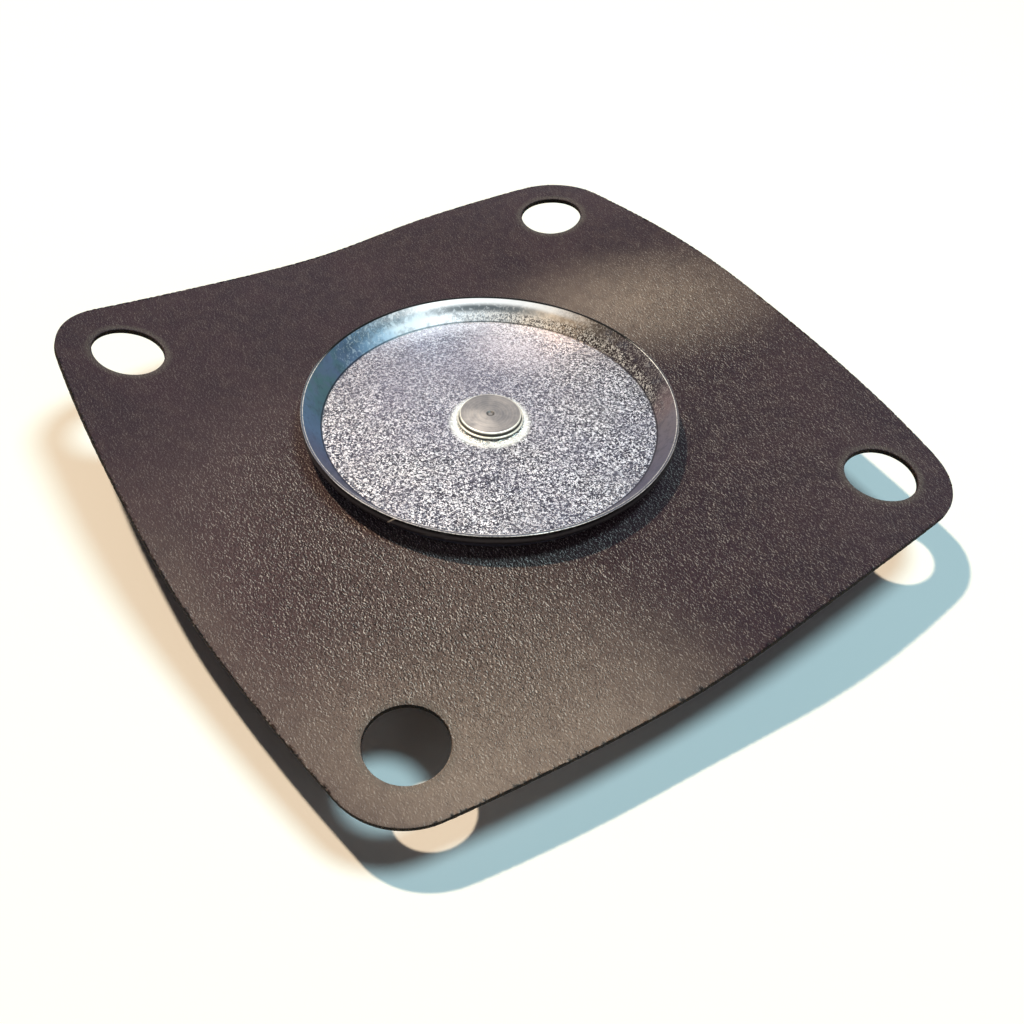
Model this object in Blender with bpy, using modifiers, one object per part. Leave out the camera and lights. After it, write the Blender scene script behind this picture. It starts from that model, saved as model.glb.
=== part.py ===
# Pump diaphragm: a warped sheet of rubber-coated fabric, held between a dished steel
# plate and a plain one by a turned rivet. It stands on the rivet's button.
# Units are metres, +Z is up, and the rivet's axis is the Z axis.

import math

import bmesh
import bpy
import numpy as np
from mathutils import Matrix, Vector

# Sheet
BOLT_PITCH = 0.034
BOLT_HOLE_D = 0.0045
# From a bolt hole's edge out to the line of the side's middle
EDGE_LAND = 0.00335
SIDE_RADIUS = 0.130
CORNER_RADIUS = 0.0045
SHEET_THICKNESS = 0.00035
# The blank was pierced a little off its own middle, so the sheet sits this far off the rivet.
SHEET_SHIFT = (0.00025, 0.00015)

# Warp of the sheet: how far its edge stands above the clamped middle, every 45 degrees
# round from +X, so a side's middle and a corner take turns.
EDGE_LIFTS = (-0.0006, 0.0017, 0.0021, 0.0030, 0.0004, 0.0029, 0.0006, -0.0011)
# How far each corner curls beyond that, from the corner between +X and +Y round.
CORNER_CURLS = (-0.0014, -0.0013, 0.0004, -0.0002)
CURL_START = 0.0190
# How slowly the sheet leaves the clamped plane: 0 is straight from the clamp.
BEND_EASE = 1.5

# Dished plate that seats the spring
DISH_FLOOR_RADIUS = 0.01055
DISH_WALL_WIDTH = 0.00105
DISH_RIM_RISE = 0.0013
DISH_THICKNESS = 0.0005
DISH_LIP_LAND = 0.00015
DISH_CREASE_RADIUS = 0.00012

# Plate under the sheet
LOWER_RADIUS = 0.0095
LOWER_THICKNESS = 0.0006
LOWER_EDGE_DROP = 0.0003
LOWER_EDGE_WIDTH = 0.0009

# Rivet
SHANK_D = 0.0034
HEAD_STEP_D = 0.0042
HEAD_FACE_D = 0.0039
HEAD_STEP_HEIGHT = 0.0002
HEAD_HEIGHT = 0.00045
HEAD_PIP_D = 0.0005
HEAD_PIP_DEPTH = 0.00006
HEAD_EDGE_CHAMFER = 0.00006
BUTTON_D = 0.0080
BUTTON_HEIGHT = 0.0040
BUTTON_EDGE_RADIUS = 0.0005
BUTTON_NECK_D = 0.0066
BUTTON_NECK_HEIGHT = 0.0008
BUTTON_NECK_CHAMFER = 0.00025

# Clearances
FACE_GAP = 0.00002
SHANK_GAP = 0.00005

# Sizes that follow from the ones above
SHEET_ACROSS = BOLT_PITCH + BOLT_HOLE_D + 2 * EDGE_LAND
DISH_LIP_RADIUS = DISH_FLOOR_RADIUS + DISH_WALL_WIDTH
DISH_RIM_RADIUS = DISH_LIP_RADIUS + DISH_LIP_LAND

# Heights, stacked up from the button's end
LOWER_PLATE_Z = BUTTON_HEIGHT + FACE_GAP
SHEET_BOTTOM_Z = LOWER_PLATE_Z + LOWER_THICKNESS + FACE_GAP
SHEET_TOP_Z = SHEET_BOTTOM_Z + SHEET_THICKNESS
DISH_BOTTOM_Z = SHEET_TOP_Z + FACE_GAP
DISH_FLOOR_Z = DISH_BOTTOM_Z + DISH_THICKNESS
HEAD_SEAT_Z = DISH_FLOOR_Z + FACE_GAP
PIERCED_RADIUS = SHANK_D / 2 + SHANK_GAP

# Fineness of the faces
GRID_CELLS = 34
# The grid reaches a little past the blank, which trims it.
GRID_REACH = 0.52 * SHEET_ACROSS
SIDE_STEPS = 24
CORNER_STEPS = 12
HOLE_SIDES = 36
WARP_STEPS = 24
DISH_STEPS = 96
BEND_STEPS = 4
CREASE_STEPS = 2
LOWER_STEPS = 64
ROLL_STEPS = 4
PIN_STEPS = 48
BUTTON_EDGE_STEPS = 4
MERGE_DISTANCE = 0.000001
# The curve through the lifts divides by the turn from each, so a turn is never quite nothing.
LEAST_TURN = 0.000001


def clear_scene():
    for obj in list(bpy.data.objects):
        bpy.data.objects.remove(obj, do_unlink=True)


def new_collection(name):
    collection = bpy.data.collections.new(name)
    bpy.context.scene.collection.children.link(collection)
    return collection


def new_material(name, colour, roughness, metallic):
    material = bpy.data.materials.new(name)
    material.use_nodes = True
    shader = material.node_tree.nodes["Principled BSDF"]
    shader.inputs["Base Color"].default_value = (*colour, 1.0)
    shader.inputs["Roughness"].default_value = roughness
    shader.inputs["Metallic"].default_value = metallic
    material.diffuse_color = (*colour, 1.0)
    return material


def arc(centre, radius, start, end, steps):
    """Points of an arc, from the angle start to the angle end, in degrees."""
    angles = [math.radians(start + (end - start) * i / steps) for i in range(steps + 1)]
    return [
        (centre[0] + radius * math.cos(a), centre[1] + radius * math.sin(a)) for a in angles
    ]


# Outline of the sheet: four long side arcs that run smoothly into four corner arcs
SIDE_CENTRE = SHEET_ACROSS / 2 - SIDE_RADIUS
CORNER_CENTRE = (
    SIDE_CENTRE + math.sqrt(2 * (SIDE_RADIUS - CORNER_RADIUS) ** 2 - SIDE_CENTRE**2)
) / 2
SIDE_HALF_ANGLE = math.degrees(math.atan2(CORNER_CENTRE, CORNER_CENTRE - SIDE_CENTRE))
CORNER_REACH = CORNER_CENTRE * math.sqrt(2) + CORNER_RADIUS


def sheet_outline():
    """The blank's edge, counter-clockwise, one side and the corner after it at a time."""
    quarter = arc((SIDE_CENTRE, 0.0), SIDE_RADIUS, -SIDE_HALF_ANGLE, SIDE_HALF_ANGLE, SIDE_STEPS)
    quarter += arc(
        (CORNER_CENTRE, CORNER_CENTRE),
        CORNER_RADIUS,
        SIDE_HALF_ANGLE,
        90 - SIDE_HALF_ANGLE,
        CORNER_STEPS,
    )[1:-1]
    points = []
    for turn in range(4):
        rotation = Matrix.Rotation(math.radians(90 * turn), 2)
        points += [rotation @ Vector(point) for point in quarter]
    return [(x + SHEET_SHIFT[0], y + SHEET_SHIFT[1]) for x, y in points]


def bolt_centres():
    half = BOLT_PITCH / 2
    return [
        (sx * half + SHEET_SHIFT[0], sy * half + SHEET_SHIFT[1])
        for sx in (-1, 1)
        for sy in (-1, 1)
    ]


def edge_lift(angle):
    """A smooth closed curve through the eight lifts round the edge."""
    total = np.zeros_like(angle)
    count = len(EDGE_LIFTS)
    for index, lift in enumerate(EDGE_LIFTS):
        turn = angle - index * 2 * math.pi / count
        turn = (turn + math.pi) % (2 * math.pi) - math.pi
        turn = np.where(np.abs(turn) < LEAST_TURN, LEAST_TURN, turn)
        total += lift * np.sin(count * turn / 2) / (count * np.tan(turn / 2))
    return total


def warp_height(radius, angle):
    """How far the sheet stands above its clamped middle, at a flat radius and an angle."""
    half = SHEET_ACROSS / 2
    reach = (half + CORNER_REACH) / 2 - (CORNER_REACH - half) / 2 * np.cos(4 * angle)
    along = np.clip((radius - DISH_FLOOR_RADIUS) / (reach - DISH_FLOOR_RADIUS), 0, None)
    height = along**2 * (1 + BEND_EASE) / (along + BEND_EASE) * edge_lift(angle)
    for index, curl in enumerate(CORNER_CURLS):
        out = radius * np.cos(angle - (2 * index + 1) * math.pi / 4)
        height += curl * np.clip((out - CURL_START) / (CORNER_REACH - CURL_START), 0, None) ** 2
    return height


def warp(points):
    """Moves flat points onto the warped sheet. Cloth doesn't stretch, so each ray from the
    rivet keeps its length and the edge is drawn in where the sheet climbs or droops."""
    radius = np.hypot(points[:, 0], points[:, 1])
    angle = np.arctan2(points[:, 1], points[:, 0])
    clamp = np.minimum(radius, DISH_FLOOR_RADIUS)
    step = (radius - clamp) / WARP_STEPS
    drawn = clamp.copy()
    height = warp_height(clamp, angle)
    for index in range(1, WARP_STEPS + 1):
        climbed = warp_height(clamp + step * index, angle)
        drawn += np.sqrt(np.clip(step**2 - (climbed - height) ** 2, 0, None))
        height = climbed
    return np.column_stack([drawn * np.cos(angle), drawn * np.sin(angle), height])


def flat_shape(name, outlines, half_height, collection):
    """A closed mesh of a flat outline and its holes, as far above z = 0 as below."""
    curve = bpy.data.curves.new(name, "CURVE")
    curve.dimensions = "2D"
    curve.fill_mode = "BOTH"
    curve.extrude = half_height
    for outline in outlines:
        spline = curve.splines.new("POLY")
        spline.points.add(len(outline) - 1)
        for point, (x, y) in zip(spline.points, outline):
            point.co = (x, y, 0.0, 1.0)
        spline.use_cyclic_u = True
    guide = bpy.data.objects.new(name + "_curve", curve)
    collection.objects.link(guide)
    bpy.context.view_layer.update()
    graph = bpy.context.evaluated_depsgraph_get()
    mesh = bpy.data.meshes.new_from_object(guide.evaluated_get(graph))
    bpy.data.objects.remove(guide, do_unlink=True)
    body = bmesh.new()
    body.from_mesh(mesh)
    bmesh.ops.remove_doubles(body, verts=body.verts, dist=MERGE_DISTANCE)
    bmesh.ops.recalc_face_normals(body, faces=body.faces)
    body.to_mesh(mesh)
    body.free()
    obj = bpy.data.objects.new(name, mesh)
    collection.objects.link(obj)
    return obj


def make_sheet(parts, cutters):
    """A fine grid trimmed to the blank's outline and pierced, then warped and thickened."""
    holes = [arc(centre, BOLT_HOLE_D / 2, 0, 360, HOLE_SIDES)[:-1] for centre in bolt_centres()]
    holes.append(arc((0.0, 0.0), PIERCED_RADIUS, 0, 360, HOLE_SIDES)[:-1])
    trimmer = flat_shape("sheet_trimmer", [sheet_outline()] + holes, DISH_RIM_RADIUS, cutters)
    trimmer.hide_render = True
    trimmer.display_type = "WIRE"

    mesh = bpy.data.meshes.new("diaphragm_sheet")
    grid = bmesh.new()
    bmesh.ops.create_grid(
        grid, x_segments=GRID_CELLS, y_segments=GRID_CELLS, size=GRID_REACH
    )
    grid.to_mesh(mesh)
    grid.free()
    sheet = bpy.data.objects.new("diaphragm_sheet", mesh)
    parts.objects.link(sheet)
    trim = sheet.modifiers.new("trim", "BOOLEAN")
    trim.operation = "INTERSECT"
    trim.object = trimmer
    trim.solver = "EXACT"
    bpy.context.view_layer.update()
    graph = bpy.context.evaluated_depsgraph_get()
    trimmed = bpy.data.meshes.new_from_object(sheet.evaluated_get(graph))
    sheet.modifiers.clear()
    sheet.data = trimmed

    flat = np.empty(len(trimmed.vertices) * 3)
    trimmed.vertices.foreach_get("co", flat)
    warped = warp(flat.reshape(-1, 3))
    warped[:, 2] += SHEET_TOP_Z
    trimmed.vertices.foreach_set("co", warped.ravel())
    trimmed.update()

    solidify = sheet.modifiers.new("thickness", "SOLIDIFY")
    solidify.thickness = SHEET_THICKNESS
    solidify.offset = -1.0
    solidify.use_even_offset = True
    sheet.data.materials.append(new_material("rubbered_cloth", (0.062, 0.052, 0.048), 0.75, 0.0))
    return sheet


def turned(name, profile, steps, material, collection):
    """A solid turned from a closed profile of (radius, height) points. Down its outer side
    the profile runs from top to bottom."""
    mesh = bpy.data.meshes.new(name)
    outline = bmesh.new()
    corners = [outline.verts.new((radius, 0.0, height)) for radius, height in profile]
    on_axis = profile[0][0] == 0.0
    for first, second in zip(corners, corners[1:] if on_axis else corners[1:] + corners[:1]):
        outline.edges.new((first, second))
    outline.to_mesh(mesh)
    outline.free()
    obj = bpy.data.objects.new(name, mesh)
    collection.objects.link(obj)
    screw = obj.modifiers.new("turn", "SCREW")
    screw.angle = math.radians(360)
    screw.steps = steps
    screw.render_steps = steps
    screw.use_merge_vertices = True
    screw.merge_threshold = MERGE_DISTANCE
    screw.use_smooth_shade = True
    obj.data.materials.append(material)
    return obj


def make_spring_plate(parts):
    """The stamped dish: flat floor, sharp crease, flared wall, and an edge blanked upright."""
    flare = math.atan2(DISH_RIM_RISE, DISH_WALL_WIDTH)
    flare_deg = math.degrees(flare)
    floor = DISH_FLOOR_Z
    lip_z = floor + DISH_RIM_RISE
    land_share = DISH_LIP_LAND * math.sin(flare)
    cut_height = (DISH_THICKNESS - land_share) / math.cos(flare)
    bend = DISH_CREASE_RADIUS + DISH_THICKNESS
    # Both bends share one centre, a crease radius above the floor.
    back = DISH_CREASE_RADIUS * math.tan(flare / 2)
    centre = (DISH_FLOOR_RADIUS - back, floor + DISH_CREASE_RADIUS)
    profile = [(DISH_LIP_RADIUS, lip_z)]
    profile.append((DISH_RIM_RADIUS, lip_z))
    profile.append((DISH_RIM_RADIUS, lip_z - cut_height))
    profile += arc(centre, bend, flare_deg - 90, -90, BEND_STEPS)
    profile.append((PIERCED_RADIUS, DISH_BOTTOM_Z))
    profile.append((PIERCED_RADIUS, floor))
    profile += arc(centre, DISH_CREASE_RADIUS, -90, flare_deg - 90, CREASE_STEPS)
    zinc = new_material("blue_zinc", (0.42, 0.44, 0.50), 0.35, 1.0)
    return turned("spring_plate", profile, DISH_STEPS, zinc, parts)


def make_lower_plate(parts):
    """A stamped washer whose edge is rolled down, away from the rubber."""
    top = LOWER_PLATE_Z + LOWER_THICKNESS
    roll_start = LOWER_RADIUS - LOWER_EDGE_WIDTH
    # An arc of this radius falls by the drop over the width of the rolled edge.
    roll = (LOWER_EDGE_WIDTH**2 + LOWER_EDGE_DROP**2) / (2 * LOWER_EDGE_DROP)
    sweep = math.degrees(math.asin(LOWER_EDGE_WIDTH / roll))
    centre = (roll_start, top - roll)
    outer = arc(centre, roll, 90, 90 - sweep, ROLL_STEPS)
    inner = arc(centre, roll - LOWER_THICKNESS, 90 - sweep, 90, ROLL_STEPS)
    profile = [(PIERCED_RADIUS, top)] + outer + inner + [(PIERCED_RADIUS, LOWER_PLATE_Z)]
    steel = new_material("plain_zinc", (0.40, 0.40, 0.42), 0.4, 1.0)
    return turned("lower_plate", profile, LOWER_STEPS, steel, parts)


def make_pin(parts):
    """The rivet: its formed head on the dish, the shank, and the button a lever presses."""
    head_top = HEAD_SEAT_Z + HEAD_HEIGHT
    step_z = HEAD_SEAT_Z + HEAD_STEP_HEIGHT
    face = HEAD_FACE_D / 2
    button = BUTTON_D / 2
    neck = BUTTON_NECK_D / 2
    edge = BUTTON_EDGE_RADIUS
    neck_z = BUTTON_HEIGHT - BUTTON_NECK_HEIGHT
    chamfer = HEAD_EDGE_CHAMFER
    neck_chamfer = BUTTON_NECK_CHAMFER
    profile = [(0.0, head_top - HEAD_PIP_DEPTH), (HEAD_PIP_D / 2, head_top)]
    profile += [(face - chamfer, head_top), (face, head_top - chamfer), (face, step_z)]
    profile += [(HEAD_STEP_D / 2, step_z), (HEAD_STEP_D / 2, HEAD_SEAT_Z)]
    profile += [(SHANK_D / 2, HEAD_SEAT_Z), (SHANK_D / 2, BUTTON_HEIGHT)]
    profile += [(neck, BUTTON_HEIGHT), (neck, neck_z), (button - neck_chamfer, neck_z)]
    profile += [(button, neck_z - neck_chamfer)]
    profile += arc((button - edge, edge), edge, 0, -90, BUTTON_EDGE_STEPS)
    profile.append((0.0, 0.0))
    steel = new_material("turned_steel", (0.45, 0.45, 0.42), 0.3, 1.0)
    return turned("pin", profile, PIN_STEPS, steel, parts)


def build():
    clear_scene()
    parts = new_collection("pump_diaphragm")
    cutters = new_collection("cutters")
    make_sheet(parts, cutters)
    make_spring_plate(parts)
    make_lower_plate(parts)
    make_pin(parts)
    bpy.context.view_layer.update()


build()
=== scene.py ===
"""A pump diaphragm as it lies in its photograph: a warped sheet of rubber-coated cloth, a dished
plate with blue passivated zinc, and a turned rivet. Units are metres, and +Z is up."""

import math

import bpy
import numpy as np
from mathutils import Matrix, Vector, geometry, noise


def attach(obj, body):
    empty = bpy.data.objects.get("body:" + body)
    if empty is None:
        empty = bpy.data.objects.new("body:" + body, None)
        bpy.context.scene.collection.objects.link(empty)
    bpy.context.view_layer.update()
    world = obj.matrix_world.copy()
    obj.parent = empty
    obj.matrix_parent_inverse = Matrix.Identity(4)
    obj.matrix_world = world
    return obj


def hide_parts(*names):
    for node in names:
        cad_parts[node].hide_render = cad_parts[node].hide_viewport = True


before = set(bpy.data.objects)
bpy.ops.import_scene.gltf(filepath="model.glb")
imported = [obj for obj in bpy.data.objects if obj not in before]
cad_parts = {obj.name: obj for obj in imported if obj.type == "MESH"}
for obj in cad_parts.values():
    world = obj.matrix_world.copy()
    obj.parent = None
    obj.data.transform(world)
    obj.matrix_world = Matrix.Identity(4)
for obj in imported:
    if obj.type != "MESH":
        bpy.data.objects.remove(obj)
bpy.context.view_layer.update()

MM = 0.001

# Sheet, as it is in the CAD model
BOLT_PITCH = 34.0 * MM
BOLT_HOLE_D = 4.5 * MM
SHEET_ACROSS = 45.2 * MM
SIDE_RADIUS = 130.0 * MM
CORNER_RADIUS = 4.5 * MM
SHEET_THICKNESS = 0.35 * MM
SHEET_SHIFT = (0.25 * MM, 0.15 * MM)
EDGE_LIFTS = (-0.0006, 0.0017, 0.0021, 0.0030, 0.0004, 0.0029, 0.0006, -0.0011)
CORNER_CURLS = (-0.0014, -0.0013, 0.0004, -0.0002)
CURL_START = 19.0 * MM
BEND_EASE = 1.5

# Dished plate
DISH_FLOOR_RADIUS = 10.55 * MM
DISH_WALL_WIDTH = 1.05 * MM
DISH_RIM_RISE = 1.3 * MM
DISH_THICKNESS = 0.5 * MM
DISH_LIP_LAND = 0.15 * MM
DISH_CREASE_RADIUS = 0.12 * MM
DISH_EDGE_RADIUS = 0.030 * MM
DISH_RIM_RADIUS = 0.050 * MM
DISH_UNDER_RIM_RADIUS = 0.040 * MM
# The waves that the press leaves round the wall: their depth, then count, share and phase
DISH_WAVE_DEPTH = 0.010 * MM
DISH_WAVES = ((7, 0.5, 0.6), (12, 0.5, 2.0), (19, 0.35, 0.0))

# Plate under the sheet
LOWER_RADIUS = 9.5 * MM
LOWER_THICKNESS = 0.6 * MM
LOWER_EDGE_DROP = 0.3 * MM
LOWER_EDGE_WIDTH = 0.9 * MM
LOWER_EDGE_RADIUS = 0.05 * MM
LOWER_PIERCED_EDGE = 0.03 * MM

# Rivet
SHANK_RADIUS = 1.7 * MM
HEAD_STEP_RADIUS = 2.1 * MM
HEAD_FACE_RADIUS = 1.95 * MM
HEAD_STEP_HEIGHT = 0.2 * MM
HEAD_HEIGHT = 0.45 * MM
HEAD_PIP_RADIUS = 0.25 * MM
HEAD_PIP_DEPTH = 0.06 * MM
HEAD_PIP_FLOOR_RADIUS = 0.17 * MM
HEAD_SEAT_CHAMFER = 0.035 * MM
# Turning marks on the head's face
HEAD_MARK_RADII = (0.55 * MM, 0.90 * MM, 1.30 * MM)
HEAD_MARK_DEPTH = 0.004 * MM
BUTTON_RADIUS = 4.0 * MM
BUTTON_HEIGHT = 4.0 * MM
BUTTON_EDGE_RADIUS = 0.5 * MM
BUTTON_NECK_RADIUS = 3.3 * MM
BUTTON_NECK_HEIGHT = 0.8 * MM
BUTTON_DIMPLE_RADIUS = 1.2 * MM
BUTTON_DIMPLE_DEPTH = 0.03 * MM

# Heights, stacked up from the button's end
FACE_GAP = 0.02 * MM
PIERCED_RADIUS = SHANK_RADIUS + 0.05 * MM
LOWER_PLATE_Z = BUTTON_HEIGHT + FACE_GAP
SHEET_TOP_Z = LOWER_PLATE_Z + LOWER_THICKNESS + FACE_GAP + SHEET_THICKNESS
DISH_BOTTOM_Z = SHEET_TOP_Z + FACE_GAP
DISH_FLOOR_Z = DISH_BOTTOM_Z + DISH_THICKNESS
HEAD_SEAT_Z = DISH_FLOOR_Z + FACE_GAP


# Geometry helpers


def arc(centre, radius, start, end, steps):
    """Points of an arc, from the angle start to the angle end, in degrees."""
    angles = np.radians(np.linspace(start, end, steps + 1))
    return [(centre[0] + radius * math.cos(a), centre[1] + radius * math.sin(a)) for a in angles]


def lumps(points, size, seed):
    """Smooth bumps of about that size, from -1 to 1, at points of a plane."""
    return np.array([noise.noise(Vector((x / size, y / size, seed))) for x, y in points])


def new_mesh_object(name, verts, faces, smooth=True):
    mesh = bpy.data.meshes.new(name)
    mesh.from_pydata([tuple(v) for v in verts], [], [tuple(f) for f in faces])
    mesh.validate()
    if smooth:
        mesh.shade_smooth()
    obj = bpy.data.objects.new(name, mesh)
    bpy.context.scene.collection.objects.link(obj)
    return obj


# The sheet's flat outline and its warp

SIDE_CENTRE = SHEET_ACROSS / 2 - SIDE_RADIUS
CORNER_CENTRE = (
    SIDE_CENTRE + math.sqrt(2 * (SIDE_RADIUS - CORNER_RADIUS) ** 2 - SIDE_CENTRE**2)
) / 2
SIDE_HALF_ANGLE = math.degrees(math.atan2(CORNER_CENTRE, CORNER_CENTRE - SIDE_CENTRE))
CORNER_REACH = CORNER_CENTRE * math.sqrt(2) + CORNER_RADIUS
WARP_STEPS = 24


def sheet_outline(side_steps, corner_steps):
    """The blank's edge, counter-clockwise: four long arcs that run into four corner arcs."""
    quarter = arc((SIDE_CENTRE, 0.0), SIDE_RADIUS, -SIDE_HALF_ANGLE, SIDE_HALF_ANGLE, side_steps)
    corner = (CORNER_CENTRE, CORNER_CENTRE)
    quarter += arc(corner, CORNER_RADIUS, SIDE_HALF_ANGLE, 90 - SIDE_HALF_ANGLE, corner_steps)[1:-1]
    points = []
    for turn in range(4):
        rotation = Matrix.Rotation(math.radians(90 * turn), 2)
        points += [rotation @ Vector(point) for point in quarter]
    return np.array([(x + SHEET_SHIFT[0], y + SHEET_SHIFT[1]) for x, y in points])


def bolt_centres():
    half = BOLT_PITCH / 2
    return [
        (sx * half + SHEET_SHIFT[0], sy * half + SHEET_SHIFT[1])
        for sx in (-1, 1)
        for sy in (-1, 1)
    ]


def edge_lift(angle):
    """A smooth closed curve through the eight lifts round the edge."""
    total = np.zeros_like(angle)
    count = len(EDGE_LIFTS)
    for index, lift in enumerate(EDGE_LIFTS):
        turn = angle - index * 2 * math.pi / count
        turn = (turn + math.pi) % (2 * math.pi) - math.pi
        turn = np.where(np.abs(turn) < 1e-6, 1e-6, turn)
        total += lift * np.sin(count * turn / 2) / (count * np.tan(turn / 2))
    return total


def warp_height(radius, angle):
    """How far the sheet stands above its clamped middle, at a flat radius and an angle."""
    half = SHEET_ACROSS / 2
    reach = (half + CORNER_REACH) / 2 - (CORNER_REACH - half) / 2 * np.cos(4 * angle)
    along = np.clip((radius - DISH_FLOOR_RADIUS) / (reach - DISH_FLOOR_RADIUS), 0, None)
    height = along**2 * (1 + BEND_EASE) / (along + BEND_EASE) * edge_lift(angle)
    for index, curl in enumerate(CORNER_CURLS):
        out = radius * np.cos(angle - (2 * index + 1) * math.pi / 4)
        height += curl * np.clip((out - CURL_START) / (CORNER_REACH - CURL_START), 0, None) ** 2
    return height


def warp(points):
    """Moves flat points onto the warped sheet. Each ray from the rivet keeps its length."""
    radius = np.hypot(points[:, 0], points[:, 1])
    angle = np.arctan2(points[:, 1], points[:, 0])
    clamp = np.minimum(radius, DISH_FLOOR_RADIUS)
    step = (radius - clamp) / WARP_STEPS
    drawn = clamp.copy()
    height = warp_height(clamp, angle)
    for index in range(1, WARP_STEPS + 1):
        climbed = warp_height(clamp + step * index, angle)
        drawn += np.sqrt(np.clip(step**2 - (climbed - height) ** 2, 0, None))
        height = climbed
    return np.column_stack([drawn * np.cos(angle), drawn * np.sin(angle), height + SHEET_TOP_Z])


# The sheet

# About how far apart the points lie along the cut lines and on the upper and lower faces
EDGE_STEP = 0.13 * MM
TOP_STEP = 0.195 * MM
BOTTOM_STEP = 0.30 * MM
EDGE_CHAMFER = 0.035 * MM
SIDE_STEPS = 280
CORNER_STEPS = 52
BOLT_HOLE_STEPS = 110
PIERCED_STEPS = 84

# Points that fill the blank: how far each is shifted at random, and how far it stays from a
# cut line, as shares of a step
FILL_SEED = 11
FILL_SHIFT = 0.16
FILL_MARGIN = 0.62

# Fray of the cut lines: its depth, and the size of its fine and coarse waves and its nicks
OUTLINE_SEED = 1.3
HOLE_SEED = 20.7
FRAY_DEPTH = 0.010 * MM
FRAY_FINE = 0.33 * MM
FRAY_COARSE = 1.4 * MM
FRAY_NICK = 0.24 * MM

# Rows of the cut edge between the two faces: how deep each lies, as a share of the thickness,
# and how far the cloth's fibres stand out of it
EDGE_ROWS = ((0.09, 0.004 * MM), (0.36, 0.020 * MM), (0.66, 0.020 * MM), (0.91, 0.004 * MM))
FIBRE_SIZE = 0.17 * MM
FIBRE_SEED = 40.0

# Unevenness of the coating: height and size of its fine, middling and broad lumps, of which
# the first two are drawn out along X, and the dip round each bolt hole
RELIEF_SEED = 3.1
RELIEF_FINE = (0.0045 * MM, 0.62 * MM)
RELIEF_MIDDLING = (0.010 * MM, 1.9 * MM)
RELIEF_BROAD = (0.020 * MM, 5.5 * MM)
RELIEF_DRAWN = (0.55, 1.0)
HOLE_DIP_DEPTH = 0.022 * MM
HOLE_DIP_REACH = 0.16 * MM
PRESSED_RADIUS = 10.0 * MM
PRESSED_FADE = 1.6 * MM


def frayed(loop, seed):
    """A closed cut line with the small nicks that a punch leaves in cloth."""
    before = np.roll(loop, 1, axis=0)
    after = np.roll(loop, -1, axis=0)
    along = after - before
    inward = np.column_stack([-along[:, 1], along[:, 0]])
    inward /= np.linalg.norm(inward, axis=1)[:, None]
    fine = lumps(loop, FRAY_FINE, seed)
    coarse = lumps(loop, FRAY_COARSE, seed + 5)
    nicks = np.clip(lumps(loop, FRAY_NICK, seed + 9) - 0.36, 0, None)
    depth = FRAY_DEPTH * (0.45 * fine + 0.7 * coarse + 2.2 * nicks)
    return loop + inward * depth[:, None]


def cut_loops():
    """The outline and the five holes, as closed lines of points in the flat blank."""
    loops = [frayed(sheet_outline(SIDE_STEPS, CORNER_STEPS), OUTLINE_SEED)]
    for index, centre in enumerate(bolt_centres()):
        ring = np.array(arc(centre, BOLT_HOLE_D / 2, 0, 360, BOLT_HOLE_STEPS)[:-1])
        # A hole's line runs the same way round, so its inward side is cut away.
        loops.append(2 * ring - frayed(ring, HOLE_SEED + 3 * index))
    loops.append(np.array(arc((0.0, 0.0), PIERCED_RADIUS, 0, 360, PIERCED_STEPS)[:-1]))
    return loops


def fill_points(step, loops, centres, rng):
    """Scattered points, about a step apart, clear of every cut line."""
    half = SHEET_ACROSS / 2 + step
    rise = step * math.sqrt(3) / 2
    rows = int(2 * half / rise)
    columns = int(2 * half / step)
    y, x = np.mgrid[0:rows, 0:columns].astype(float)
    x = -half + (x + 0.5 * (y % 2)) * step
    y = -half + y * rise
    points = np.column_stack([x.ravel(), y.ravel()])
    points += rng.uniform(-FILL_SHIFT, FILL_SHIFT, points.shape) * step
    outline = loops[0]
    angles = np.arctan2(outline[:, 1], outline[:, 0])
    order = np.argsort(angles)
    reach = np.interp(
        np.arctan2(points[:, 1], points[:, 0]),
        angles[order],
        np.hypot(outline[:, 0], outline[:, 1])[order],
        period=2 * math.pi,
    )
    margin = FILL_MARGIN * step
    keep = np.hypot(points[:, 0], points[:, 1]) < reach - margin
    for centre, radius in centres:
        keep &= np.hypot(points[:, 0] - centre[0], points[:, 1] - centre[1]) > radius + margin
    return points[keep]


def twice_areas(points, faces):
    """Twice each triangle's area, above 0 where its corners run counter-clockwise."""
    a, b, c = (points[faces[:, i]] for i in range(3))
    return (b[:, 0] - a[:, 0]) * (c[:, 1] - a[:, 1]) - (b[:, 1] - a[:, 1]) * (c[:, 0] - a[:, 0])


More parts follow.
